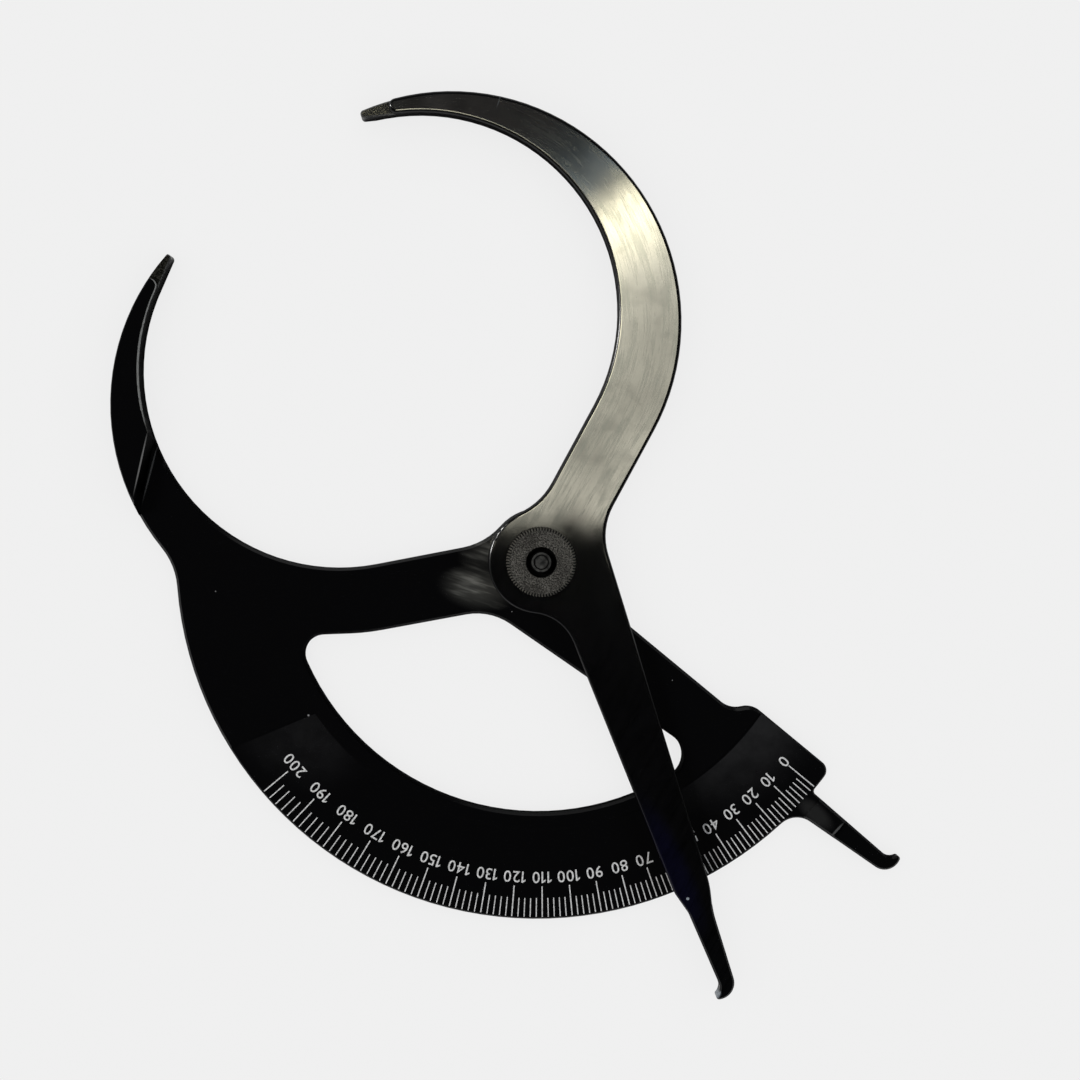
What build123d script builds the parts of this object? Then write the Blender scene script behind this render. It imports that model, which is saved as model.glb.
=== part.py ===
"""Inside outside caliper with a 0 to 200 mm arc scale, as an assembly of separate pieces."""
import os
from math import asin, atan2, cos, hypot, pi, radians, sin, sqrt
from build123d import *

# Levels, in mm above the resting plane
PLATE = 4.2
FLOAT = 0.1
TOTAL = 2 * PLATE + FLOAT
NOSE_HIGH = 6.4
LEG_TIP = 3.4

# How the two legs lie: degrees turned from the X axis
SCALE_TURN = -39.55
OPENING = 28.48

# Measuring tips
LEG_LENGTH = 130.0
TIP_RADIUS = 1.5
NOSE_RADIUS = 1.05
JAW_END_RADIUS = 2.05
NUB_RADIUS = 0.85
NUB_REACH = 0.6

# Outside jaw
SHANK_HEADING = 50.4
SHANK_LENGTH = 46.1
BEND_LEAD = 1.5
SHANK_OUTER = 10.3
SHANK_INNER = 7.45
STEP_HEADING = 118.0
STEP_SHORT = 20.1
STEP_RUN = 1.3
UNDER_STEP_SHORT = 61.0
OUTER_DRAFT = 0.95
INNER_DRAFT = 0.45

# Hub and blade
HUB_RADIUS = 14.4
PAD_RADIUS = 11.0
JAW_FILLET = 18.8
NECK_FILLET = 17.5
EDGE_FILLET = 13.0
BACK_HEADING = 4.73
BACK_SWELL = 1.45

# Inside leg
LEG_BACK_HEADING = 4.7
LEG_BACK_DISTANCE = 16.85
LEG_TOP_HEADING = -1.45
LEG_TOP_DROP = 1.6
LEG_STEP_SHORT = 17.0
LEG_STEP_RUN = 0.8
LEG_SPLIT_SHORT = 24.0
SHOULDER_SHORT = 23.9
SHOULDER_HEADING = 17.7
SHOULDER_FILLET = 30.0
BROW_SHORT = 29.0
BROW_DROP = 0.45
BROW_HEADING = 167.0
BROW_FILLET = 9.0
HOOK_RADIUS = 4.6
HOOK_HOLLOW = 3.0

# Scale plate
LEG_REACH = 30.2
BAND_WIDTH = 24.8
BAND_DEPTH = 0.3
BAND_SLOPE = 0.7
BAND_END_HEADING = 62.1
BAND_END_DISTANCE = 15.2
BODY_FILLET = 18.9
ROOT_FILLET = 6.4
HEEL_FILLET = 1.2
CORNER_FILLET = 2.9
END_RISE = 6.7
SPOKE_RISE = 1.75
CREST_SHORT = 25.4
CREST_FILLET = 6.0
DIP_FILLET = 6.4

# Window
RIM_WIDTH = 4.8
WINDOW_END = 6.6
WINDOW_TOP = 16.2
WINDOW_CORNER = 5.5
WINDOW_BEND = 60.0
SPOKE_DISTANCE = 19.1
WINDOW_HEADING = 49.9
WINDOW_DISTANCE = 11.0
FLANK_HEADING = 41.5
FLANK_DEPTH = 18.3

# Rounded and bevelled edges
JAW_EDGE = 0.5
PLATE_EDGE = 0.7
ARM_EDGE = 1.0
FINE_EDGE = 0.5
NOSE_EDGE = 0.4
UNDER_EDGE = 0.3

# Clamp
BOLT_RADIUS = 3.0
FIT = 0.05
HEAD_FLATS = 10.0
HEAD_HEIGHT = 2.0
HEAD_PLAY = 0.1
WASHER_RADIUS = 6.5
WASHER_HEIGHT = 0.8
KNOB_RADIUS = 9.5
KNOB_HEIGHT = 4.5
KNOB_TEETH = 72
TOOTH_DEPTH = 0.25
KNOB_BEVEL = 0.5
KNOB_SINK_RADIUS = 4.15
KNOB_SINK_DEPTH = 1.6
STUD_RISE = 1.0
STUD_CHAMFER = 0.35
DISH_RADIUS = 2.1
DISH_DEPTH = 0.35

FAR = 400.0
BASE = (Align.CENTER, Align.CENTER, Align.MIN)


# Geometry helpers: a path goes anticlockwise, and a minus radius is a hollow curve
def path(heading, offset):
    """A straight path with its heading and its distance to the left of the pivot."""
    return heading, offset


def ahead(heading):
    return cos(radians(heading)), sin(radians(heading))


def point_on(line, along):
    dx, dy = ahead(line[0])
    return dx * along - dy * line[1], dy * along + dx * line[1]


def path_through(x, y, heading):
    dx, dy = ahead(heading)
    return path(heading, y * dx - x * dy)


def corner(first, second, radius):
    """The stop that turns one straight path into the next."""
    (ax, ay), (bx, by) = ahead(first[0]), ahead(second[0])
    a, b = first[1] + radius, second[1] + radius
    cross = ax * by - ay * bx
    return (a * bx - b * ax) / cross, (a * by - b * ay) / cross, radius


def touching(line, stop, radius, way):
    """The stop that follows a straight path and touches another stop."""
    dx, dy = ahead(line[0])
    across = line[1] + radius - (stop[1] * dx - stop[0] * dy)
    span = sqrt(max((radius - stop[2]) ** 2 - across ** 2, 0.0))
    return stop[0] - dy * across + dx * span * way, stop[1] + dx * across + dy * span * way, radius


def bend(line, along, stop):
    """The stop that follows a straight path as far as a point on it and touches another stop."""
    dx, dy = ahead(line[0])
    px, py = point_on(line, along)
    x, y = px - stop[0], py - stop[1]
    radius = (stop[2] ** 2 - x ** 2 - y ** 2) / (2 * (stop[2] + y * dx - x * dy))
    return px - dy * radius, py + dx * radius, radius


def between(first, second, radius):
    """The stop that touches two others, on the left of the way from the first to the second."""
    span = hypot(second[0] - first[0], second[1] - first[1])
    a, b = abs(radius - first[2]), abs(radius - second[2])
    along = (span ** 2 + a ** 2 - b ** 2) / (2 * span)
    across = sqrt(max(a ** 2 - along ** 2, 0.0))
    ux, uy = (second[0] - first[0]) / span, (second[1] - first[1]) / span
    return first[0] + ux * along - uy * across, first[1] + uy * along + ux * across, radius


def outline(stops):
    """The face whose edge runs round every stop in turn and straight from each to the next."""
    joins = []
    for (ax, ay, ar), (bx, by, br) in zip(stops, stops[1:] + stops[:1]):
        span = hypot(bx - ax, by - ay)
        heading = atan2(by - ay, bx - ax) - asin(max(-1.0, min(1.0, (br - ar) / span)))
        leave = (ax + ar * sin(heading), ay - ar * cos(heading))
        arrive = (bx + br * sin(heading), by - br * cos(heading))
        if hypot(arrive[0] - leave[0], arrive[1] - leave[1]) < 0.001:
            arrive = leave
        joins.append((leave, arrive, heading))
    edges = []
    for (x, y, radius), before, after in zip(stops, joins[-1:] + joins[:-1], joins):
        turn = (after[2] - before[2]) % (2 * pi)
        if radius < 0:
            turn -= 2 * pi
        middle = before[2] + turn / 2
        crest = (x + radius * sin(middle), y - radius * cos(middle))
        edges.append(ThreePointArc(before[1], crest, after[0]))
        if after[0] != after[1]:
            edges.append(Line(after[0], after[1]))
    return make_face(Wire(edges))


def left_of(line):
    """Everything on the left of a straight path."""
    dx, dy = ahead(line[0])
    middle = line[1] + FAR
    return Pos(-dy * middle, dx * middle) * Rot(0, 0, line[0]) * Rectangle(2 * FAR, 2 * FAR)


def slab(face, low, high):
    return Pos(0, 0, low) * extrude(face, amount=high - low)


def rim(solid, level):
    """The edges of a solid that lie at one level."""
    return solid.edges().filter_by(lambda e: abs(e.bounding_box().min.Z - level) < 1e-4
                                   and abs(e.bounding_box().max.Z - level) < 1e-4)


def away_from(edges, line):
    """The edges that don't lie along a straight path."""
    dx, dy = ahead(line[0])
    return edges.filter_by(lambda e: abs((e @ 0.5).Y * dx - (e @ 0.5).X * dy - line[1]) > 0.01)


# Radii of the scale plate, inwards from the edge that carries the lines
scale_radius = LEG_LENGTH - LEG_REACH
band_radius = scale_radius - BAND_WIDTH
window_radius = band_radius - RIM_WIDTH

# Stops and straight paths shared by both legs, in the frame where the measuring edge is the X axis
shank_out = path(SHANK_HEADING, -SHANK_OUTER)
shank_in = path(SHANK_HEADING + 180, -SHANK_INNER)
back = path(BACK_HEADING, -LEG_BACK_DISTANCE - BACK_SWELL)
leg_back = path(LEG_BACK_HEADING, -LEG_BACK_DISTANCE)
leg_top = path_through(LEG_LENGTH, -LEG_TOP_DROP - NUB_REACH, LEG_TOP_HEADING + 180)
reading = path(180, 0)
shoulder = path_through(*point_on(leg_back, LEG_LENGTH - SHOULDER_SHORT), SHOULDER_HEADING)
brow = path_through(LEG_LENGTH - BROW_SHORT, -BROW_DROP, BROW_HEADING)

tip = (-LEG_LENGTH, -TIP_RADIUS, TIP_RADIUS)
jaw_out = bend(shank_out, -SHANK_LENGTH, tip)
jaw_in = bend(shank_in, SHANK_LENGTH - BEND_LEAD, tip)
jaw_end = between(jaw_out, jaw_in, JAW_END_RADIUS)
nub = (LEG_LENGTH + NUB_REACH, -NUB_RADIUS, NUB_RADIUS)
hook = touching(leg_back, nub, HOOK_RADIUS, -1)
hollow = touching(leg_top, nub, -HOOK_HOLLOW, 1)
hub = (0, 0, HUB_RADIUS)
hub_left = touching(shank_in, hub, -JAW_FILLET, 1)
neck = corner(shank_out, back, -NECK_FILLET)

arm_face = outline([
    jaw_end, jaw_out, neck,
    corner(back, shoulder, SHOULDER_FILLET),
    corner(shoulder, leg_back, -SHOULDER_FILLET),
    hook, nub, hollow,
    corner(leg_top, brow, -BROW_FILLET),
    corner(brow, reading, BROW_FILLET),
    touching(reading, hub, -EDGE_FILLET, -1),
    hub, hub_left, jaw_in,
])

# Scale frame outline: the same leg with the arc plate on it
quadrant = (0, 0, scale_radius)
scale_end = path(180, -END_RISE)
spoke_top = path(180, -SPOKE_RISE)
crest = (scale_radius - CREST_SHORT, END_RISE - CREST_FILLET, CREST_FILLET)
frame_face = outline([
    jaw_end, jaw_out,
    between(quadrant, jaw_out, -BODY_FILLET),
    quadrant,
    touching(leg_back, quadrant, -ROOT_FILLET, 1),
    hook, nub, hollow,
    touching(leg_top, quadrant, -HEEL_FILLET, -1),
    quadrant,
    touching(scale_end, quadrant, CORNER_FILLET, -1),
    crest,
    touching(spoke_top, crest, -DIP_FILLET, 1),
    touching(spoke_top, hub, -EDGE_FILLET, -1),
    hub, hub_left, jaw_in,
])

# Window through the frame
ring = (0, 0, window_radius)
spoke_under = path(BACK_HEADING + 180, SPOKE_DISTANCE)
window_side = path(WINDOW_HEADING + 180, WINDOW_DISTANCE)
flank_start = point_on(window_side, sqrt((window_radius - FLANK_DEPTH) ** 2 - WINDOW_DISTANCE ** 2))
window_flank = path_through(*flank_start, FLANK_HEADING + 180)
window_face = outline([
    ring,
    touching(spoke_under, ring, WINDOW_END, -1),
    corner(spoke_under, window_side, WINDOW_TOP),
    corner(window_side, window_flank, -WINDOW_BEND),
    touching(window_flank, ring, WINDOW_CORNER, 1),
])

# Regions of a leg
step_distance = LEG_LENGTH - STEP_SHORT
jaw_side = left_of(path(STEP_HEADING, step_distance))
hub_side = path(STEP_HEADING - 180, -step_distance)
under_distance = LEG_LENGTH - UNDER_STEP_SHORT
under_side = left_of(path(STEP_HEADING, under_distance))
under_line = path(STEP_HEADING - 180, -under_distance)
leg_line = path(-90, LEG_LENGTH - LEG_STEP_SHORT)
split_line = path(-90, LEG_LENGTH - LEG_SPLIT_SHORT)
nose_root = left_of(path(0, jaw_end[1] - JAW_END_RADIUS)) & left_of(path(90, LEG_LENGTH / 2))
nose_end = touching(reading, jaw_out, NOSE_RADIUS, 1)
nose_face = outline([nose_end, jaw_out, neck, hub, hub_left, jaw_in]) & nose_root


def rounded(solid, level, size, line):
    """Rounds the edges of a solid at one level, but not those along a straight path."""
    return fillet(away_from(rim(solid, level), line), size)


def bevelled(solid, level, size, line=None):
    """Bevels the edges of a solid at one level, but not those along a straight path."""
    edges = rim(solid, level)
    return chamfer(away_from(edges, line) if line else edges, size)


def drafted(stop, foot, head, height):
    """A cone round a stop that rises from the resting plane."""
    return Pos(stop[0], stop[1]) * Cone(foot, head, height, align=BASE)


def sloped(line, low, high, run):
    """Everything on the left of a path beyond one level, its side leaning back to another level."""
    dx, dy = ahead(line[0])
    top = FAR if high > low else -FAR
    side = Polyline((0, low), (FAR, low), (FAR, top), (-run, top), (-run, high), close=True)
    place = Plane((-dy * line[1], dx * line[1], 0), x_dir=(-dy, dx, 0), z_dir=(dx, dy, 0))
    return extrude(place * make_face(side), amount=FAR, both=True)


nose = bevelled(bevelled(slab(nose_face, 0, NOSE_HIGH), NOSE_HIGH, NOSE_EDGE), 0, UNDER_EDGE)
bore = Cylinder(BOLT_RADIUS + FIT, FAR)

# Scale frame
plate = slab(frame_face - left_of(leg_line) - window_face, 0, PLATE)
plate = bevelled(bevelled(plate, PLATE, PLATE_EDGE, leg_line), 0, UNDER_EDGE, leg_line)
plate -= sloped(leg_line, LEG_TIP, PLATE, LEG_STEP_RUN)
draft = OUTER_DRAFT / (TOTAL - PLATE)
jaw_core = drafted(jaw_out, jaw_out[2] + draft * PLATE, jaw_out[2] - OUTER_DRAFT, TOTAL)
jaw = slab(frame_face & jaw_side, PLATE / 2, TOTAL) & jaw_core
jaw = rounded(jaw, TOTAL, JAW_EDGE, hub_side)
jaw -= sloped(hub_side, PLATE, TOTAL, STEP_RUN)
leg_end = slab(frame_face & left_of(leg_line), 0, LEG_TIP)
leg_end = bevelled(bevelled(leg_end, LEG_TIP, FINE_EDGE, leg_line), 0, UNDER_EDGE, leg_line)
pad = Pos(0, 0, PLATE) * Cylinder(PAD_RADIUS, FLOAT, align=BASE)
band_line = path(BAND_END_HEADING + 180, BAND_END_DISTANCE)
band_core = Cone(band_radius, band_radius - 2 * BAND_SLOPE, 2 * BAND_DEPTH, align=BASE)
band = Cylinder(scale_radius + CORNER_FILLET, BAND_DEPTH, align=BASE) - band_core
band = Pos(0, 0, PLATE - BAND_DEPTH) * band
band &= sloped(band_line, PLATE - BAND_DEPTH, PLATE, BAND_SLOPE)
pocket = extrude(RegularPolygon(HEAD_FLATS / 2 + HEAD_PLAY, 6, major_radius=False), HEAD_HEIGHT)
scale_frame = plate + jaw + (nose & jaw_core) + leg_end + pad - band - pocket - bore

# Swing arm
low = PLATE + FLOAT
blade = slab(arm_face - left_of(split_line), low, TOTAL)
blade = bevelled(rounded(blade, TOTAL, ARM_EDGE, split_line), low, UNDER_EDGE, split_line)
throat = drafted(jaw_in, INNER_DRAFT - jaw_in[2], -jaw_in[2], low)
jaw_under = bevelled(slab(arm_face & under_side, 0, TOTAL - 2 * ARM_EDGE), 0, UNDER_EDGE, under_line)
jaw_under = jaw_under + nose - throat - sloped(under_line, low, 0, STEP_RUN)
leg_end = slab(arm_face & left_of(split_line), low, TOTAL)
leg_end = bevelled(bevelled(leg_end, TOTAL, FINE_EDGE, split_line), low, UNDER_EDGE, split_line)
swing_arm = blade + jaw_under + leg_end - bore

# Clamp
washer_top = TOTAL + WASHER_HEIGHT
knob_top = washer_top + KNOB_HEIGHT
stud_top = knob_top - KNOB_SINK_DEPTH + STUD_RISE
head = extrude(RegularPolygon(HEAD_FLATS / 2, 6, major_radius=False), HEAD_HEIGHT)
stud = Cylinder(BOLT_RADIUS, stud_top, align=BASE)
stud = chamfer(stud.edges().group_by(Axis.Z)[-1], STUD_CHAMFER)
dish = Pos(0, 0, stud_top - DISH_DEPTH) * Cone(DISH_RADIUS - DISH_DEPTH, DISH_RADIUS, DISH_DEPTH, align=BASE)
pivot_bolt = head + stud - dish
thrust_washer = Pos(0, 0, TOTAL) * Cylinder(WASHER_RADIUS, WASHER_HEIGHT, align=BASE) - bore

grip = KNOB_RADIUS - TOOTH_DEPTH
profile = Polyline((BOLT_RADIUS + FIT, 0), (grip - KNOB_BEVEL, 0), (grip, KNOB_BEVEL),
                   (grip, KNOB_HEIGHT - KNOB_BEVEL), (grip - KNOB_BEVEL, KNOB_HEIGHT),
                   (KNOB_SINK_RADIUS, KNOB_HEIGHT), (KNOB_SINK_RADIUS, KNOB_HEIGHT - KNOB_SINK_DEPTH),
                   (BOLT_RADIUS + FIT, KNOB_HEIGHT - KNOB_SINK_DEPTH), close=True)
turned = revolve(Plane.XZ * make_face(profile), Axis.Z)
teeth = [(grip + TOOTH_DEPTH * (k % 2), 180.0 * k / KNOB_TEETH) for k in range(2 * KNOB_TEETH)]
star = make_face(Polyline([(r * cos(radians(a)), r * sin(radians(a))) for r, a in teeth], close=True))
ribs = slab(star - Circle(KNOB_SINK_RADIUS + KNOB_BEVEL), KNOB_BEVEL, KNOB_HEIGHT - KNOB_BEVEL)
clamp_knob = Pos(0, 0, washer_top) * (turned + ribs)

pieces = {
    "scale_frame": Rot(0, 0, SCALE_TURN) * scale_frame,
    "swing_arm": Rot(0, 0, SCALE_TURN - OPENING) * mirror(swing_arm, about=Plane.XZ),
    "pivot_bolt": Rot(0, 0, SCALE_TURN) * pivot_bolt,
    "thrust_washer": thrust_washer,
    "clamp_knob": clamp_knob,
}
os.makedirs("parts", exist_ok=True)
for name, piece in pieces.items():
    export_step(piece, f"parts/{name}.step")
    box = piece.bounding_box()
    print(name, len(piece.solids()), round(piece.volume), box.min, box.max)
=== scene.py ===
"""Looks of the inside outside caliper: studio, moulded plastics, blackened steel and the printed scale."""
from math import asin, cos, degrees, pi, radians, sin

import bmesh
import bpy
from mathutils import Matrix, Vector


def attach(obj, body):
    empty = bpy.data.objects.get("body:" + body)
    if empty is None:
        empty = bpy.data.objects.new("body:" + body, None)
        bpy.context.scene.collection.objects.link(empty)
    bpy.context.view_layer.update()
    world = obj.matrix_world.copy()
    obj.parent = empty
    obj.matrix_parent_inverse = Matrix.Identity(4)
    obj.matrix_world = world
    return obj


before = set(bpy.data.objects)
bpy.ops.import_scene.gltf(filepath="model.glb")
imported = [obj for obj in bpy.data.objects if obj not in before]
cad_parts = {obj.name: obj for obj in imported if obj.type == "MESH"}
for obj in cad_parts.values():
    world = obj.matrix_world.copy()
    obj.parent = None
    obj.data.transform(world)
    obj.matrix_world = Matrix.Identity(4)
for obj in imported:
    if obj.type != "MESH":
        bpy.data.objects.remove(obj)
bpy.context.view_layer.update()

# Sizes and places are in millimetres where nothing else is said
MM = 0.001


def rgb(red, green, blue):
    return red, green, blue, 1.0


def grey(tone):
    return rgb(tone, tone, tone)


# Camera, as the photograph was taken: nearly straight down, tilted by degrees about X and Y
CAMERA_PLACE = Vector((-18.4, 25.0, 500.0)) * MM
CAMERA_TILT = (-2.23, -2.12)
CAMERA_LENS = 60.07
SENSOR = 36.0
NEAREST_SEEN = 10.0

# Levels of the moulded faces, and the height of their bevels
BAND_TOP = 3.9
NOSE_TOP = 6.4
NOSE_BEVEL = 0.4
JAW_TOP = 8.5
JAW_BEVEL = 0.5
LEVEL_SLACK = 0.02

# Course of the arm, which its scratches follow, and how little they change along it
ARM_JAW_CENTRE = Vector((-28.0, 66.7, 0.0)) * MM
ARM_SHANK_HEADING = -118.43
JAW_RADIUS = 57.0
FINE_ALONG = 0.05
BROAD_ALONG = 0.12
FINE_SHARE = 0.6

# Printed scale
LEG_LENGTH = 130.0
ZERO_LINE = -39.55
SCALE_LAST = 200
LINE_STEP = 2
NUMERAL_STEP = 10
PRINT_OUT = 99.15
SHORT_LINE = 5.25
LONG_LINE = 8.55
ZERO_LINE_LENGTH = 9.25
LINE_WIDTH = 0.28
LONG_LINE_WIDTH = 0.32
INK = 0.03
NUMERAL_RADIUS = 88.1
NUMERAL_HEIGHT = 3.15
NUMERAL_BOLD = 0.01
NUMERAL_CURVE_STEPS = 4
FIGURE_SHARE = 0.7
DIGIT_GAP = 0.16
ONE = ((0.22, 0.0), (0.36, 0.0), (0.36, 1.0), (0.24, 1.0), (0.0, 0.83), (0.0, 0.68), (0.22, 0.82))

# Finish of the black mouldings: roughness by place, the grain's share in the bumps, how soft the edge of
# a dust speck is, and how much is reflected
FRAME_GLOSS = 0.07
ARM_GLOSS = 0.055
SMUDGE_ROUGH = 0.04
GRAIN_ROUGH = 0.03
SCRATCH_ROUGH = 0.06
WALL_ROUGH = 0.12
EDGE_ROUGH = 0.2
STEP_ROUGH = 0.7
NOSE_ROUGH = 0.75
GRAIN_SHARE = 0.6
SPECK_SOFT = 0.3
SHEEN = 0.25

# Which way a face looks: the upward share of its normal, from where a finish begins to where it is full,
# and for a bevel that share's middle and slack
TOP_FACE = (0.95, 0.995)
EDGE_FACE = (0.3, 0.6)
NOSE_FACE = (0.6, 0.8)
NOSE_BEVEL_FACE = (0.7, 0.15)
BAND_FACE = (0.9, 0.97)
JAW_BEVEL_FACE = (0.75, 0.2)
JAW_RIGHT_FACE = (0.1, 0.4)
STEP_FACE = (0.995, 0.98)
STUD_WALL_FACE = (0.97, 0.9)

# Colours of the black mouldings, with painted sheen, highlights and reflection among them
FRAME_BLACK = rgb(0.0014, 0.0014, 0.0017)
ARM_BLACK = rgb(0.0016, 0.0016, 0.0019)
NOSE_DARK = rgb(0.003, 0.003, 0.002)
NOSE_PALE = rgb(0.03, 0.029, 0.023)
# The bevel round the nose tops: paler than the nose and mottled by the same pits
NOSE_BEVEL_DARK = rgb(0.03, 0.03, 0.028)
NOSE_BEVEL_PALE = rgb(0.1, 0.1, 0.095)
DUST = grey(0.2)
# Painted sheen toward the scale band's ends
BAND_END_SHEEN = rgb(0.02, 0.02, 0.021)
# Pale streaks beside the hub: smudges, painted pale with the sheen of the light they catch
SMUDGE_SHEEN = rgb(0.36, 0.36, 0.33)
# Painted highlight along the left jaw's inner top edge
JAW_RIM_HIGHLIGHT = rgb(0.3, 0.3, 0.29)
# Painted blue reflection on the arm's lower blade
BLADE_BLUE_REFLECTION = rgb(0.002, 0.002, 0.009)
# Pale scratches: real scratches, painted pale only where the arm mirrors the card, so partly painted
# reflection
SCRATCH_SHEEN = rgb(0.013, 0.014, 0.014)
SCRATCH_SHEEN_END = 16.0
BLOTCH_DULL = 0.25
STREAK_DULL = 0.55

# Ovals on the frame and the arm, most of them where painted sheen, highlight or reflection lies: middle,
# half length and half width, heading, and softness of the edge
# The two band ovals hold the painted sheen toward the band's ends
BAND_LEFT = ((-68.0, -44.0), (16.0, 12.0), -35.0, 0.7)
BAND_RIGHT = ((58.0, -46.0), (22.0, 13.0), 35.0, 0.7)
# Where the smudges beside the hub lie, painted pale with the sheen they catch
WISPS_LOW = ((-17.0, -7.5), (6.5, 3.6), -8.0, 0.9)
WISPS_HIGH = ((-15.0, 2.5), (4.5, 3.0), 20.0, 0.9)
# Where the painted highlight along the jaw's inner top edge lies
RIM_HIGHLIGHT_REACH = ((-116.0, 54.0), (19.0, 34.0), 0.0, 0.1)
STEP_REACH = ((-107.5, 28.0), (5.0, 11.0), -14.0, 0.2)
# Where the painted blue reflection on the arm's blade lies
BLADE_REFLECTION_REACH = ((36.5, -84.7), (16.0, 3.5), -66.0, 0.6)
BAND_LEFT_SHARE = 0.5
WISPS_HIGH_SHARE = 0.5
WISPS_GROUND = 0.14

# Painted highlights, glints and sheen on the frame and the arm, with a few marks and dust specks: middle,
# half length and half width, heading, and tone
MARK_SOFT = 0.5
# On the frame: painted highlights along the two edges of the jaw's step and on the leg's step, a painted
# sheen at the leg's root, and a dust speck
FRAME_HIGHLIGHTS_AND_SPECK = (
    ((-108.3, 26.9), (7.2, 0.2), 77.0, 0.16),
    ((-106.4, 24.5), (6.9, 0.2), 75.0, 0.11),
    ((83.0, -75.3), (2.2, 0.3), 47.0, 0.09),
    ((76.9, -70.8), (5.0, 2.2), -42.0, 0.018),
    ((-63.8, -42.6), (0.25, 0.25), 0.0, 0.4),
)
FRAME_MARK_HUE = (1.0, 1.0, 1.0)
# On the arm: a dust speck, a painted blue glint on the hook, and a faint pale line across the jaw
ARM_MARKS_AND_GLINT = (
    ((40.7, -93.3), (0.4, 0.35), 0.0, 0.5),
    ((49.3, -120.3), (1.0, 0.5), 60.0, 0.25),
    ((-11.2, 125.3), (2.4, 0.15), 72.0, 0.06),
)
ARM_MARK_HUE = (0.8, 0.9, 1.0)

# Knob: its ribbed rim, its sunk middle and its colours, with painted shade in the rib gaps and the sunk
# middle and a painted highlight on the rib tops
KNOB_TEETH = 72
KNOB_RIM = (8.5, 8.7)
KNOB_SUNK = 4.2
KNOB_SHEEN = 0.06
FINE_GRAIN = 0.3
RIB_HEIGHT = 1.5
KNOB_DARK = rgb(0.018, 0.0173, 0.0155)
KNOB_PALE = rgb(0.175, 0.167, 0.15)
KNOB_PATCH = rgb(0.022, 0.02, 0.018)
# Painted shade in the gaps between the rim's teeth, painted highlight on their tops, and painted shade in
# the sunk middle
RIB_GAP_SHADE = grey(0.006)
RIB_TOP_HIGHLIGHT = rgb(0.12, 0.115, 0.1)
SUNK_SHADE = grey(0.004)

# Bolt, washer and ink, with painted shade on the stud's sides
STEEL_DARK = grey(0.015)
STEEL_PALE = rgb(0.085, 0.085, 0.08)
STEEL_WALL_SHADE = grey(0.004)
STEEL_METAL = 0.1
STEEL_SHEEN = 0.05
WASHER_BLACK = grey(0.012)
INK_THIN = grey(0.5)
INK_FULL = grey(0.86)
INK_ROUGH = 0.55

# Floor and backdrop, in metres and degrees, and how light they show, in the object's shadow and away from it
FLOOR_RADIUS = 1.6
FLOOR_CURVE = 0.2
CURVE_TURNS = range(15, 91, 15)
WALL_TOP = 0.5
FLOOR_SIDES = 96
SHADE_REACH = 0.02
SHADE_SAMPLES = 8
FLOOR_SEEN = (0.79, 0.87)
FLOOR_MIRRORED = (0.01, 0.8)
FLOOR_MIRRORED_FROM = 0.62
FLOOR_LIT = grey(0.75)

# Lamps: the rim lamp stands in the middle of the key lamp
KEY_PLACE = (-1400, 375, 900)
KEY_SIZE = 700
KEY_WATTS = 24.0
RIM_SIZE = 240
RIM_WATTS = 50.0
KEY_HUE = (1.0, 0.99, 0.97)
FILL_PLACE = (1300, -200, 700)
FILL_SIZE = 700
FILL_WATTS = 10.0
FILL_HUE = (0.93, 0.97, 1.0)
WORLD = rgb(0.05, 0.05, 0.051)

# Light card over the caliper, with the window that the arm mirrors: its upper edge, and how bright it is
CARD_HEIGHT = 210.0
CARD_LOW = -200.0
CARD_HIGH = 300.0
WINDOW_EDGE = (33.4, 131.6)
WINDOW_TILT = 36.0
WINDOW_GRAIN = -55.0
WINDOW_GLOW = 25.0
WINDOW_GLARE = 54.0
VEIL_GLOW = (0.08, 0.4)
CLOUD_GLOW = (0.8, 1.2)
HAZE_GLOW = 1.6
GLEAM_GLOW = 9.0
NOTCH_DIMMED = 0.35
SHADE_DIMMED = 0.7

# Where the card's light comes in and goes out: past the window's edge, up from its foot, and to its sides.
# The spread is the part of the grain's range that makes an edge ragged.
GRAIN_SPREAD = (0.25, 0.75)
EDGE_RAGGED = 8.0
FOOT_RAGGED = 7.0
VEIL_FADE = (-24.0, 0.0)
WINDOW_FADE = (-4.0, 3.0)
GLARE_IN = (-2.0, 6.0)
GLARE_OUT = (40.0, 8.0)
FOOT_FADE = (2.0, 8.0)
RIGHT_FADE = (95.0, 75.0)
LEFT_FADE = (-60.0, -30.0)
COOL_FADE = (0.0, -4.0)
HAZE_FADE = (-22.0, -34.0)

# Ovals on the card, in the same form as those on the frame, and its colours
GLEAM = ((37.5, 21.5), (18.0, 3.5), 59.0, 0.9)
NOTCH = ((19.0, 4.0), (6.0, 4.5), 55.0, 0.9)
SHADE = ((38.0, 40.0), (34.0, 24.0), 60.0, 0.7)
HAZE = ((-12.0, 152.0), (75.0, 34.0), -22.0, 0.4)
WINDOW_HUE = rgb(1.0, 0.96, 0.78)
GLARE_HUE = rgb(1.0, 0.93, 0.66)
VEIL_HUE = rgb(0.76, 0.93, 1.0)
HAZE_HUE = rgb(1.0, 0.93, 0.86)

# Black card to the right, in metres and degrees
FLAG_RADIUS = 0.6
FLAG_LEVELS = (0.002, 0.3)
FLAG_TURN = 70
FLAG_STEP = 10
FLAG_BLACK = grey(0.004)


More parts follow.
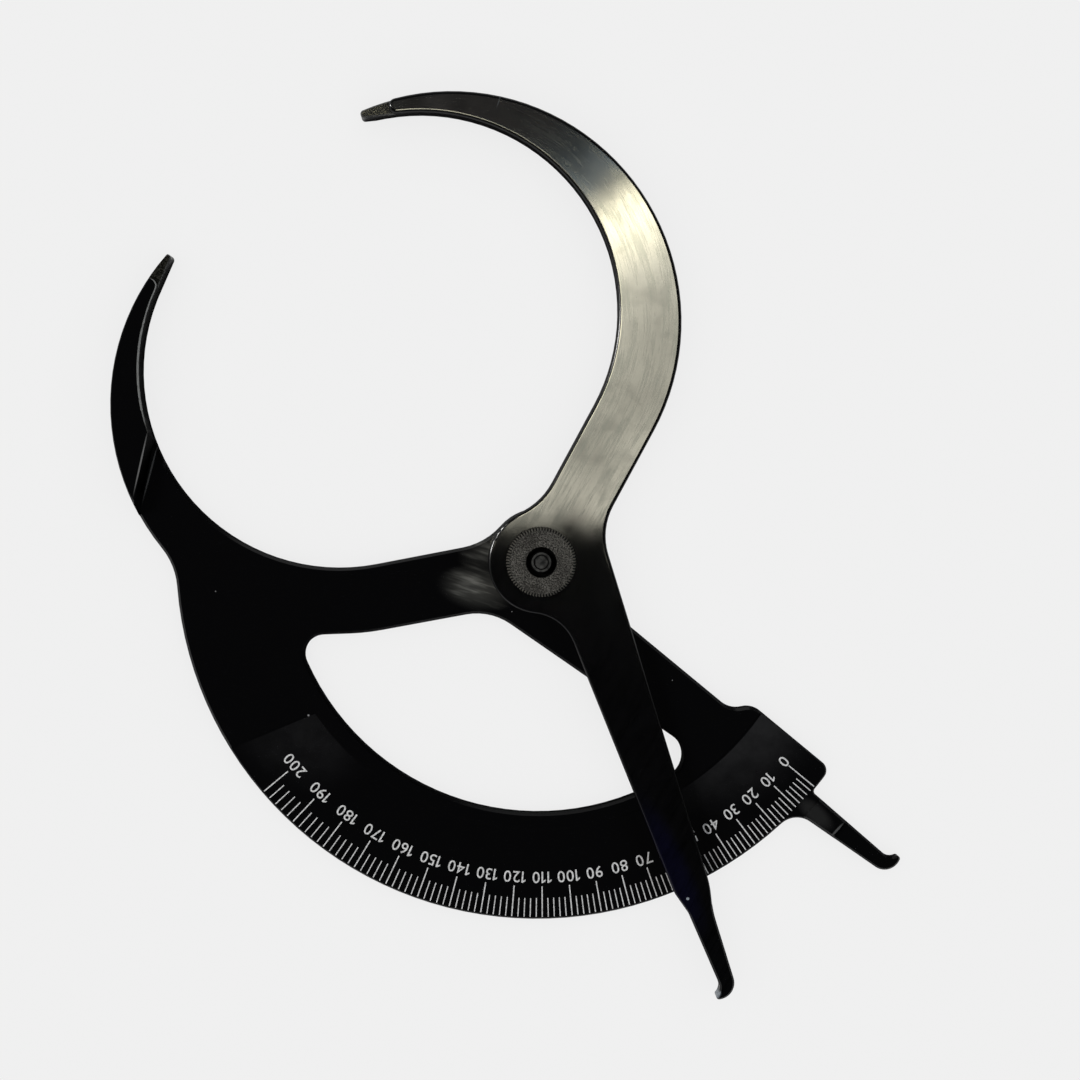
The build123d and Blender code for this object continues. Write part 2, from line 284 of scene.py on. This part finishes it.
class Look:
    """A material and short ways to add nodes to it."""

    def __init__(self, name):
        self.material = bpy.data.materials.new(name)
        self.material.use_nodes = True
        self.tree = self.material.node_tree
        self.tree.nodes.clear()
        source = self.node("ShaderNodeTexCoord").outputs
        self.place = source["Object"]
        self.x, self.y, self.z = self.parts_of(self.place)
        self.facing = self.parts_of(source["Normal"])
        self.up = self.math("ABSOLUTE", self.facing[2])
        self.grain = None

    def node(self, kind, inputs=None, **settings):
        made = self.tree.nodes.new(kind)
        for key, value in settings.items():
            setattr(made, key, value)
        for key, value in (inputs or {}).items():
            self.set(made.inputs[key], value)
        return made

    def set(self, socket, value):
        if isinstance(value, bpy.types.NodeSocket):
            self.tree.links.new(value, socket)
        else:
            socket.default_value = value

    def math(self, operation, *values):
        made = self.node("ShaderNodeMath", operation=operation)
        for socket, value in zip(made.inputs, values):
            self.set(socket, value)
        return made.outputs[0]

    def product(self, first, *others):
        for other in others:
            first = self.math("MULTIPLY", first, other)
        return first

    def total(self, first, *others):
        for other in others:
            first = self.math("ADD", first, other)
        return first

    def radius(self, x, y):
        return self.math("SQRT", self.total(self.product(x, x), self.product(y, y)))

    def steps(self, value, low, high, out_low=0.0, out_high=1.0, smooth=True):
        """A value moved from one range to another and kept within it."""
        made = self.node("ShaderNodeMapRange", {"Value": value, "From Min": low, "From Max": high,
                                                "To Min": out_low, "To Max": out_high})
        made.interpolation_type = "SMOOTHSTEP" if smooth else "LINEAR"
        return made.outputs[0]

    def fade(self, value, ends):
        """0 at the first distance and 1 at the second."""
        return self.steps(value, ends[0] * MM, ends[1] * MM)

    def ragged(self, grain, reach):
        """A distance that goes as far to and fro as the grain does."""
        return self.steps(grain, *GRAIN_SPREAD, -reach * MM, reach * MM, smooth=False)

    def blend(self, factor, first, second):
        """Two numbers mixed by a factor: the node takes numbers at its sockets 2 and 3."""
        return self.node("ShaderNodeMix", {0: factor, 2: first, 3: second}, data_type="FLOAT").outputs[0]

    def tint(self, factor, first, second):
        """Two colours mixed by a factor: the node takes colours at its sockets 6 and 7."""
        return self.node("ShaderNodeMix", {0: factor, 6: first, 7: second}, data_type="RGBA").outputs[2]

    def parts_of(self, vector):
        return self.node("ShaderNodeSeparateXYZ", {0: vector}).outputs

    def joined(self, x, y):
        return self.node("ShaderNodeCombineXYZ", {0: x, 1: y}).outputs[0]

    def noise(self, scale, detail=3.0, rough=0.5, vector=None):
        """Cloudy noise, with its scale in lumps to the metre."""
        made = self.node("ShaderNodeTexNoise", {"Vector": vector or self.place, "Scale": scale,
                                                "Detail": detail, "Roughness": rough})
        return made.outputs[0]

    def mapped(self, **inputs):
        """The object's coordinates as seen from a frame that is moved, turned and stretched."""
        made = self.node("ShaderNodeMapping", {"Vector": self.place, **inputs}, vector_type="TEXTURE")
        return made.outputs[0]

    def oval(self, centre, size, turn, soft):
        """1 inside an oval and 0 outside, with a soft edge."""
        moved = self.mapped(Location=(centre[0] * MM, centre[1] * MM, 0.0),
                            Rotation=(0.0, 0.0, radians(turn)),
                            Scale=(size[0] * MM, size[1] * MM, 1.0))
        reach = self.node("ShaderNodeVectorMath", {0: moved}, operation="LENGTH").outputs["Value"]
        return self.steps(reach, 1.0 + soft, 1.0 - soft)

    def streaks(self, heading, fine, long):
        """Noise drawn out along a heading."""
        moved = self.mapped(Rotation=(0.0, 0.0, radians(heading)), Scale=(long, 1.0, 1.0))
        return self.noise(fine, detail=3.0, rough=0.6, vector=moved)

    def specks(self, spread, size):
        """Dust: small round spots, far apart."""
        cells = self.node("ShaderNodeTexVoronoi", {"Vector": self.place, "Scale": spread, "Randomness": 1.0})
        return self.steps(cells.outputs["Distance"], size * (1.0 + SPECK_SOFT), size * (1.0 - SPECK_SOFT))

    def at_level(self, level):
        """1 at one level and 0 above and below it."""
        return self.math("COMPARE", self.z, level * MM, LEVEL_SLACK * MM)

    def in_bevel(self, top, height):
        """1 between the two edges of the bevel below one level."""
        return self.math("COMPARE", self.z, (top - height / 2) * MM, (height / 2 - LEVEL_SLACK) * MM)

    def marked(self, colour, marks, hue):
        """A colour with painted highlights, glints and sheen, and marks and dust specks, on it."""
        for centre, size, turn, tone in marks:
            pale = rgb(*(share * tone for share in hue))
            colour = self.tint(self.oval(centre, size, turn, MARK_SOFT), colour, pale)
        return colour

    def bump(self, height, strength, distance, normal=None):
        inputs = {"Height": height, "Strength": strength, "Distance": distance * MM}
        if normal is not None:
            inputs["Normal"] = normal
        return self.node("ShaderNodeBump", inputs).outputs[0]

    def finish(self, colour, roughness, normal, **constants):
        surface = self.node("ShaderNodeBsdfPrincipled", {"Base Color": colour, "Roughness": roughness,
                                                         "Normal": normal})
        for key, value in constants.items():
            self.set(surface.inputs[key.replace("_", " ")], value)
        return self.end(surface)

    def one_sided(self, front):
        """A shader that shows on the front of a face and is clear from behind."""
        clear = self.node("ShaderNodeBsdfTransparent")
        back = self.node("ShaderNodeNewGeometry").outputs["Backfacing"]
        return self.node("ShaderNodeMixShader", {0: back, 1: front.outputs[0], 2: clear.outputs[0]})

    def end(self, shader):
        self.node("ShaderNodeOutputMaterial", {"Surface": shader.outputs[0]})
        return self.material


def moulded_black(name, base, gloss, grain_source, marks):
    """Glossy black moulding: fine scratches and smudges, rough walls, mottled noses with paler bevels, dust,
    and the marks and painted light that the marks function adds.
    """
    look = Look(name)
    smudge = look.steps(look.noise(45.0, detail=5.0, rough=0.6), 0.35, 0.7)
    look.grain = grain_source(look)
    top_rough = look.total(look.blend(smudge, gloss, gloss + SMUDGE_ROUGH),
                           look.product(look.grain, GRAIN_ROUGH))
    edge_rough = look.blend(look.steps(look.up, *EDGE_FACE), WALL_ROUGH, EDGE_ROUGH)
    rough = look.blend(look.steps(look.up, *TOP_FACE), edge_rough, top_rough)
    nose = look.product(look.at_level(NOSE_TOP), look.steps(look.up, *NOSE_FACE))
    # The bevel round the nose tops, painted paler and mottled
    nose_bevel = look.product(look.in_bevel(NOSE_TOP, NOSE_BEVEL),
                        look.math("COMPARE", look.up, *NOSE_BEVEL_FACE))
    pits = look.steps(look.noise(2600.0, detail=2.0), 0.4, 0.62)
    colour, rough, dull = marks(look, base, rough)
    colour = look.tint(nose, colour, look.tint(pits, NOSE_DARK, NOSE_PALE))
    colour = look.tint(nose_bevel, colour, look.tint(pits, NOSE_BEVEL_DARK, NOSE_BEVEL_PALE))
    colour = look.tint(look.specks(spread=75.0, size=0.012), colour, DUST)
    rough = look.blend(nose, rough, NOSE_ROUGH)
    height = look.total(look.product(look.grain, GRAIN_SHARE),
                        look.product(look.noise(900.0), 1.0 - GRAIN_SHARE))
    normal = look.bump(height, strength=0.04, distance=0.05)
    normal = look.bump(look.product(nose, pits), strength=0.8, distance=0.25, normal=normal)
    return look.finish(colour, rough, normal, Metallic=dull, Specular_IOR_Level=SHEEN)


def frame_grain(look):
    """Faint marks that run one way across the frame."""
    return look.streaks(heading=35.0, fine=260.0, long=9.0)


def frame_marks(look, base, rough):
    """Painted sheen toward the scale band's ends, smudges beside the hub painted pale with the sheen they
    catch, painted highlights on the jaw's step, the leg's step and the jaw's inner top edge, a painted sheen
    at the leg's root, a dust speck, and a rougher step.
    """
    # Painted sheen on the scale band, strongest toward its two ends
    band = look.product(look.at_level(BAND_TOP), look.steps(look.up, *BAND_FACE))
    cloud = look.steps(look.noise(90.0, detail=5.0, rough=0.65), 0.3, 0.7, 0.4, 1.0)
    ends = look.total(look.product(look.oval(*BAND_LEFT), BAND_LEFT_SHARE), look.oval(*BAND_RIGHT))
    colour = look.tint(look.product(band, cloud, ends), base, BAND_END_SHEEN)
    # Smudges beside the hub, painted pale with the sheen of the light they catch
    wisps = look.steps(look.streaks(heading=-17.0, fine=400.0, long=7.0), 0.44, 0.84)
    near_hub = look.total(look.oval(*WISPS_LOW), look.product(look.oval(*WISPS_HIGH), WISPS_HIGH_SHARE))
    colour = look.tint(look.product(near_hub, look.total(wisps, WISPS_GROUND)), colour, SMUDGE_SHEEN)
    # Painted highlights and sheen on the steps and the leg, and a dust speck
    colour = look.marked(colour, FRAME_HIGHLIGHTS_AND_SPECK, FRAME_MARK_HUE)
    # Painted highlight along the left jaw's inner top edge
    rim = look.product(look.in_bevel(JAW_TOP, JAW_BEVEL), look.math("COMPARE", look.up, *JAW_BEVEL_FACE),
                       look.steps(look.facing[0], *JAW_RIGHT_FACE), look.oval(*RIM_HIGHLIGHT_REACH))
    colour = look.tint(rim, colour, JAW_RIM_HIGHLIGHT)
    step = look.product(look.oval(*STEP_REACH), look.steps(look.up, *STEP_FACE))
    return colour, look.blend(step, rough, STEP_ROUGH), step


def along_arm(look):
    """Coordinates that follow the arm: metres along it, and metres out from its jaw's centre."""
    turn = radians(-ARM_SHANK_HEADING)
    shift = Matrix.Rotation(turn, 3, "Z") @ -ARM_JAW_CENTRE
    moved = look.node("ShaderNodeMapping", {"Vector": look.place, "Rotation": (0.0, 0.0, turn),
                                            "Location": shift})
    x, y, _ = look.parts_of(moved.outputs[0])
    beside = look.math("ABSOLUTE", y)
    turned = look.product(look.math("ARCTAN2", x, beside), JAW_RADIUS * MM)
    straight = look.math("GREATER_THAN", x, 0.0)
    return look.blend(straight, turned, x), look.blend(straight, look.radius(x, y), beside)


def arm_grain(look):
    """Fine scratches that run along the arm."""
    along, across = along_arm(look)
    thin_lines = look.joined(look.product(along, FINE_ALONG), across)
    wide_lines = look.joined(look.product(along, BROAD_ALONG), across)
    fine = look.noise(2200.0, detail=4.0, rough=0.7, vector=thin_lines)
    broad = look.noise(420.0, detail=3.0, rough=0.6, vector=wide_lines)
    return look.total(look.product(fine, FINE_SHARE), look.product(broad, 1.0 - FINE_SHARE))


def arm_marks(look, base, rough):
    """Fine scratches along the jaw and shank, a little rougher than the gloss between them and painted pale
    only where the arm mirrors the card; a painted blue reflection on the blade, a painted glint on the hook,
    a faint line across the jaw and a dust speck.
    """
    flat = look.steps(look.up, *TOP_FACE)
    # The scratches are painted pale only from the hub up, where the arm mirrors the card: partly painted
    # reflection
    scratched = look.product(look.steps(look.grain, 0.4, 0.66), look.fade(look.y, (0.0, SCRATCH_SHEEN_END)), flat)
    # Painted blue reflection on the arm's lower blade
    colour = look.tint(look.oval(*BLADE_REFLECTION_REACH), base, BLADE_BLUE_REFLECTION)
    # A dust speck, a painted glint on the hook, and a faint line across the jaw
    colour = look.marked(colour, ARM_MARKS_AND_GLINT, ARM_MARK_HUE)
    colour = look.tint(scratched, colour, SCRATCH_SHEEN)
    blotch = look.steps(look.noise(130.0, detail=4.0, rough=0.6), 0.45, 0.7, 0.0, BLOTCH_DULL)
    streaked = look.steps(look.grain, 0.46, 0.62, 0.0, STREAK_DULL)
    dull = look.product(look.total(blotch, streaked), flat)
    return colour, look.total(rough, look.product(scratched, SCRATCH_ROUGH)), dull


def knob_plastic():
    """Matte dark grey moulding with a fine spark grain and a toothed rim, with painted highlights on the
    teeth, painted shade between them and painted shade in the sunk middle.
    """
    look = Look("knob_plastic")
    reach = look.radius(look.x, look.y)
    coarse = look.steps(look.noise(2600.0, detail=3.0, rough=0.6), 0.36, 0.64)
    fine = look.noise(4200.0, detail=2.0)
    patch = look.steps(look.noise(160.0, detail=2.0), 0.4, 0.75, 0.0, 0.6)
    around = look.math("ARCTAN2", look.y, look.x)
    teeth = look.steps(look.math("SINE", look.product(around, KNOB_TEETH)), -0.3, 0.3)
    at_rim = look.fade(reach, KNOB_RIM)
    colour = look.tint(patch, look.tint(coarse, KNOB_DARK, KNOB_PALE), KNOB_PATCH)
    # Painted highlight on the teeth's tops and painted shade in their gaps
    colour = look.tint(at_rim, colour, look.tint(teeth, RIB_GAP_SHADE, RIB_TOP_HIGHLIGHT))
    # Painted shade in the sunk middle round the stud
    colour = look.tint(look.math("LESS_THAN", reach, KNOB_SUNK * MM), colour, SUNK_SHADE)
    height = look.total(look.product(coarse, 1.0 - FINE_GRAIN), look.product(fine, FINE_GRAIN),
                        look.product(at_rim, teeth, RIB_HEIGHT))
    rough = look.steps(coarse, 0.0, 1.0, 0.45, 0.75)
    normal = look.bump(height, strength=0.9, distance=0.3)
    return look.finish(colour, rough, normal, Specular_IOR_Level=KNOB_SHEEN)


def blackened_steel():
    """Turned steel with a dark oxide: fine rings round the stud's end, and painted shade on the stud's
    sides.
    """
    look = Look("bolt_steel")
    rings = look.noise(6000.0, detail=2.0, vector=look.joined(look.radius(look.x, look.y), 0.0))
    blotch = look.noise(500.0, detail=4.0, rough=0.6)
    colour = look.tint(look.steps(blotch, 0.3, 0.7), STEEL_DARK, STEEL_PALE)
    # Painted shade on the stud's sides
    colour = look.tint(look.steps(look.up, *STUD_WALL_FACE), colour, STEEL_WALL_SHADE)
    rough = look.steps(blotch, 0.3, 0.7, 0.4, 0.6)
    normal = look.bump(rings, strength=0.3, distance=0.05)
    return look.finish(colour, rough, normal, Metallic=STEEL_METAL, Specular_IOR_Level=STEEL_SHEEN)


def washer_plastic():
    """Plain black washer with a faint haze."""
    look = Look("washer_plastic")
    haze = look.noise(400.0)
    normal = look.bump(haze, strength=0.1, distance=0.05)
    return look.finish(WASHER_BLACK, look.steps(haze, 0.3, 0.7, 0.35, 0.5), normal)


def white_ink():
    """Screen-printed white ink, a little thin in places."""
    look = Look("white_ink")
    thin = look.steps(look.noise(1800.0, detail=4.0, rough=0.6), 0.35, 0.6)
    normal = look.bump(thin, strength=0.2, distance=0.02)
    return look.finish(look.tint(thin, INK_THIN, INK_FULL), INK_ROUGH, normal)


def dress(node, material):
    """Puts a material in every slot of a CAD node."""
    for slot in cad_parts[node].material_slots:
        slot.link = "OBJECT"
        slot.material = material


def object_from(name, made, material):
    """A mesh under construction made into an object with one material."""
    mesh = bpy.data.meshes.new(name)
    made.to_mesh(mesh)
    made.free()
    mesh.materials.append(material)
    shown = bpy.data.objects.new(name, mesh)
    bpy.context.scene.collection.objects.link(shown)
    return shown


def print_on_frame(name, made, ink):
    """A print, drawn in millimetres, that rides on the frame."""
    bmesh.ops.scale(made, vec=(MM, MM, MM), verts=made.verts)
    piece = object_from(name, made, ink)
    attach(piece, "frame")


def wall_between(made, low, high, closed):
    """Faces between two rows of corners."""
    for k in range(len(low) if closed else len(low) - 1):
        after = (k + 1) % len(low)
        made.faces.new((low[after], low[k], high[k], high[after]))


def turned_to(value):
    """Turns the X axis to a reading's line: the reading is the chord between the tips."""
    opening = degrees(2 * asin(value / (2 * LEG_LENGTH)))
    return Matrix.Rotation(radians(ZERO_LINE - opening), 4, "Z")


def scale_lines(ink):
    """The printed lines, one every 2 mm, from the zero line round to the last."""
    made = bmesh.new()
    for value in range(0, SCALE_LAST + 1, LINE_STEP):
        tens = value % NUMERAL_STEP == 0
        length = ZERO_LINE_LENGTH if value == 0 else LONG_LINE if tens else SHORT_LINE
        width = LONG_LINE_WIDTH if tens else LINE_WIDTH
        middle = Matrix.Translation((PRINT_OUT - length / 2, 0.0, BAND_TOP))
        size = Matrix.Diagonal((length, width, 2 * INK, 1.0))
        bmesh.ops.create_cube(made, size=1.0, matrix=turned_to(value) @ middle @ size)
    print_on_frame("scale_lines", made, ink)


def digit_one():
    """The printed figure 1, which has a short flag and no foot."""
    drawn = bmesh.new()
    low, high = [[drawn.verts.new((x * NUMERAL_HEIGHT, y * NUMERAL_HEIGHT, z)) for x, y in ONE]
                 for z in (-INK, INK)]
    drawn.faces.new(low[::-1])
    drawn.faces.new(high)
    wall_between(drawn, high, low, True)
    flat = bpy.data.meshes.new("digit")
    drawn.to_mesh(flat)
    drawn.free()
    return flat


def digit_in_type(figure):
    """A printed figure in Blender's own typeface."""
    text = bpy.data.curves.new("digit", "FONT")
    text.body = figure
    text.size = NUMERAL_HEIGHT / FIGURE_SHARE
    text.offset = NUMERAL_BOLD
    text.extrude = INK
    text.resolution_u = NUMERAL_CURVE_STEPS
    shown = bpy.data.objects.new("digit", text)
    bpy.context.scene.collection.objects.link(shown)
    bpy.context.view_layer.update()
    flat = bpy.data.meshes.new_from_object(shown.evaluated_get(bpy.context.evaluated_depsgraph_get()))
    bpy.data.objects.remove(shown)
    bpy.data.curves.remove(text)
    return flat


def digit(figure):
    """One printed figure as a mesh, its lower left corner at the origin, and its width."""
    flat = digit_one() if figure == "1" else digit_in_type(figure)
    across = [corner.co.x for corner in flat.vertices]
    up = [corner.co.y for corner in flat.vertices]
    flat.transform(Matrix.Translation((-min(across), -min(up), 0.0)))
    return flat, max(across) - min(across)


def scale_numerals(ink):
    """The printed numerals, one every 10 mm, their tops towards the plate's edge."""
    made = bmesh.new()
    gap = DIGIT_GAP * NUMERAL_HEIGHT
    out = Matrix.Translation((NUMERAL_RADIUS, 0.0, BAND_TOP)) @ Matrix.Rotation(-pi / 2, 4, "Z")
    for value in range(0, SCALE_LAST + 1, NUMERAL_STEP):
        digits = [digit(figure) for figure in str(value)]
        start = -(sum(width for _, width in digits) + gap * (len(digits) - 1)) / 2
        for flat, width in digits:
            flat.transform(turned_to(value) @ out @ Matrix.Translation((start, -NUMERAL_HEIGHT / 2, 0.0)))
            made.from_mesh(flat)
            bpy.data.meshes.remove(flat)
            start += width + gap
    print_on_frame("scale_numerals", made, ink)


def camera():
    """The camera above the caliper."""
    data = bpy.data.cameras.new("camera")
    data.lens = CAMERA_LENS
    data.sensor_width = SENSOR
    data.clip_start = NEAREST_SEEN * MM
    seen = bpy.data.objects.new("camera", data)
    bpy.context.scene.collection.objects.link(seen)
    axis = Vector((*CAMERA_TILT, 0.0))
    seen.matrix_world = Matrix.Translation(CAMERA_PLACE) @ Matrix.Rotation(radians(axis.length), 4, axis)
    bpy.context.scene.camera = seen


def backdrop_pale():
    """Shown as a pale tone of its own that keeps the object's shadow, and clear from behind."""
    look = Look("backdrop")
    shade = look.node("ShaderNodeAmbientOcclusion", {"Distance": SHADE_REACH}, samples=SHADE_SAMPLES)
    open_share = shade.outputs["AO"]
    pale = look.steps(open_share, 0.0, 1.0, *FLOOR_SEEN, smooth=False)
    mirrored = look.steps(open_share, FLOOR_MIRRORED_FROM, 1.0, *FLOOR_MIRRORED)
    ray = look.node("ShaderNodeLightPath").outputs
    strength = look.blend(ray["Is Camera Ray"], mirrored, pale)
    seen = look.node("ShaderNodeEmission", {"Color": grey(1.0), "Strength": strength})
    lit = look.node("ShaderNodeBsdfDiffuse", {"Color": FLOOR_LIT})
    looked_at = look.math("MAXIMUM", ray["Is Camera Ray"],
                          look.math("MAXIMUM", ray["Is Glossy Ray"], ray["Is Transmission Ray"]))
    front = look.node("ShaderNodeMixShader", {0: looked_at, 1: lit.outputs[0], 2: seen.outputs[0]})
    return look.end(look.one_sided(front))


def backdrop():
    """A round floor that curves up into a low wall."""
    profile = [(FLOOR_RADIUS, 0.0)]
    for turn in CURVE_TURNS:
        profile.append((FLOOR_RADIUS + FLOOR_CURVE * sin(radians(turn)),
                        FLOOR_CURVE - FLOOR_CURVE * cos(radians(turn))))
    profile.append((FLOOR_RADIUS + FLOOR_CURVE, WALL_TOP))
    made = bmesh.new()
    turns = [2 * pi * k / FLOOR_SIDES for k in range(FLOOR_SIDES)]
    rings = [[made.verts.new((r * cos(a), r * sin(a), z)) for a in turns] for r, z in profile]
    made.faces.new(rings[0])
    for low, high in zip(rings, rings[1:]):
        wall_between(made, low, high, True)
    object_from("backdrop", made, backdrop_pale())


def for_arm_alone(source):
    """Lets a light source show on the swing arm only, so that the frame stays black from every side."""
    lit = bpy.data.collections.new("lit_by_" + source.name)
    lit.objects.link(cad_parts["swing_arm"])
    source.light_linking.receiver_collection = lit


def for_gloss_alone(card):
    """Lets a card show in reflections only."""
    card.visible_camera = False
    card.visible_diffuse = False
    card.visible_shadow = False


def lamp(name, place, size, watts, hue):
    """A round lamp that points at the pivot."""
    data = bpy.data.lights.new(name, "AREA")
    data.shape = "DISK"
    data.size = size * MM
    data.energy = watts
    data.color = hue
    made = bpy.data.objects.new(name, data)
    bpy.context.scene.collection.objects.link(made)
    made.location = Vector(place) * MM
    made.rotation_mode = "QUATERNION"
    made.rotation_quaternion = Vector(place).to_track_quat("Z", "Y")
    made.visible_camera = False
    return made


def card_glow():
    """A warm window, brightest by its upper edge, with a cool veil and a faint haze beyond it."""
    look = Look("light_card")
    drawn = look.streaks(WINDOW_GRAIN, fine=260.0, long=6.0)
    tilt = radians(WINDOW_TILT)
    right = look.product(look.math("SUBTRACT", look.x, WINDOW_EDGE[0] * MM), sin(tilt))
    back = look.product(look.math("SUBTRACT", look.y, WINDOW_EDGE[1] * MM), cos(tilt))
    past = look.total(look.math("SUBTRACT", right, back), look.ragged(drawn, EDGE_RAGGED))
    veil = look.product(look.fade(past, VEIL_FADE), look.steps(drawn, 0.35, 0.65, *VEIL_GLOW))
    window = look.math("MAXIMUM", look.fade(past, WINDOW_FADE), veil)
    glare = look.product(look.fade(past, GLARE_IN), look.fade(past, GLARE_OUT))
    foot = look.total(look.y, look.ragged(drawn, FOOT_RAGGED))
    inside = look.product(look.fade(foot, FOOT_FADE), look.fade(look.x, RIGHT_FADE),
                          look.fade(look.x, LEFT_FADE))
    cloud = look.steps(look.noise(45.0), 0.3, 0.7, *CLOUD_GLOW)
    silver = look.total(look.product(window, cloud, WINDOW_GLOW), look.product(glare, WINDOW_GLARE),
                        look.product(look.oval(*GLEAM), GLEAM_GLOW))
    silver = look.product(silver, look.blend(look.oval(*NOTCH), 1.0, NOTCH_DIMMED),
                          look.blend(look.oval(*SHADE), 1.0, SHADE_DIMMED))
    haze = look.product(look.oval(*HAZE), look.steps(drawn, 0.3, 0.7, 0.0, HAZE_GLOW))
    colour = look.tint(glare, WINDOW_HUE, GLARE_HUE)
    colour = look.tint(look.fade(past, COOL_FADE), colour, VEIL_HUE)
    colour = look.tint(look.fade(past, HAZE_FADE), colour, HAZE_HUE)
    strength = look.total(look.product(silver, inside), haze)
    glow = look.node("ShaderNodeEmission", {"Color": colour, "Strength": strength})
    clear = look.node("ShaderNodeBsdfTransparent")
    both = look.node("ShaderNodeAddShader", {0: glow.outputs[0], 1: clear.outputs[0]})
    return look.end(look.one_sided(both))


def light_card():
    """A card over the caliper, facing down, that the arm mirrors."""
    made = bmesh.new()
    corners = ((CARD_LOW, CARD_LOW), (CARD_LOW, CARD_HIGH), (CARD_HIGH, CARD_HIGH), (CARD_HIGH, CARD_LOW))
    made.faces.new([made.verts.new((x * MM, y * MM, 0.0)) for x, y in corners])
    card = object_from("light_card", made, card_glow())
    card.location = (0.0, 0.0, CARD_HEIGHT * MM)
    for_gloss_alone(card)
    for_arm_alone(card)


def flag():
    """A low black card that stands to the right, out of the picture: the right-hand edges mirror it."""
    look = Look("flag")
    dark = look.end(look.node("ShaderNodeBsdfDiffuse", {"Color": FLAG_BLACK}))
    made = bmesh.new()
    turns = [radians(a) for a in range(-FLAG_TURN, FLAG_TURN + 1, FLAG_STEP)]
    low, high = [[made.verts.new((FLAG_RADIUS * cos(a), FLAG_RADIUS * sin(a), z)) for a in turns]
                 for z in FLAG_LEVELS]
    wall_between(made, low, high, False)
    card = object_from("flag", made, dark)
    for_gloss_alone(card)


def studio():
    """A dim world, two soft lamps for the plain light, and a rim lamp and two cards for the reflections."""
    world = bpy.data.worlds.new("studio")
    world.use_nodes = True
    world.node_tree.nodes["Background"].inputs[0].default_value = WORLD
    bpy.context.scene.world = world
    key = lamp("key", KEY_PLACE, KEY_SIZE, KEY_WATTS, KEY_HUE)
    key.visible_glossy = False
    rim = lamp("rim", KEY_PLACE, RIM_SIZE, RIM_WATTS, KEY_HUE)
    rim.visible_diffuse = False
    for_arm_alone(rim)
    fill = lamp("fill", FILL_PLACE, FILL_SIZE, FILL_WATTS, FILL_HUE)
    fill.visible_glossy = False
    light_card()
    flag()


camera()
backdrop()
studio()
dress("scale_frame", moulded_black("frame_plastic", FRAME_BLACK, FRAME_GLOSS, frame_grain, frame_marks))
dress("swing_arm", moulded_black("arm_plastic", ARM_BLACK, ARM_GLOSS, arm_grain, arm_marks))
dress("clamp_knob", knob_plastic())
dress("pivot_bolt", blackened_steel())
dress("thrust_washer", washer_plastic())
ink = white_ink()
scale_lines(ink)
scale_numerals(ink)
bpy.context.scene.view_settings.view_transform = "Standard"
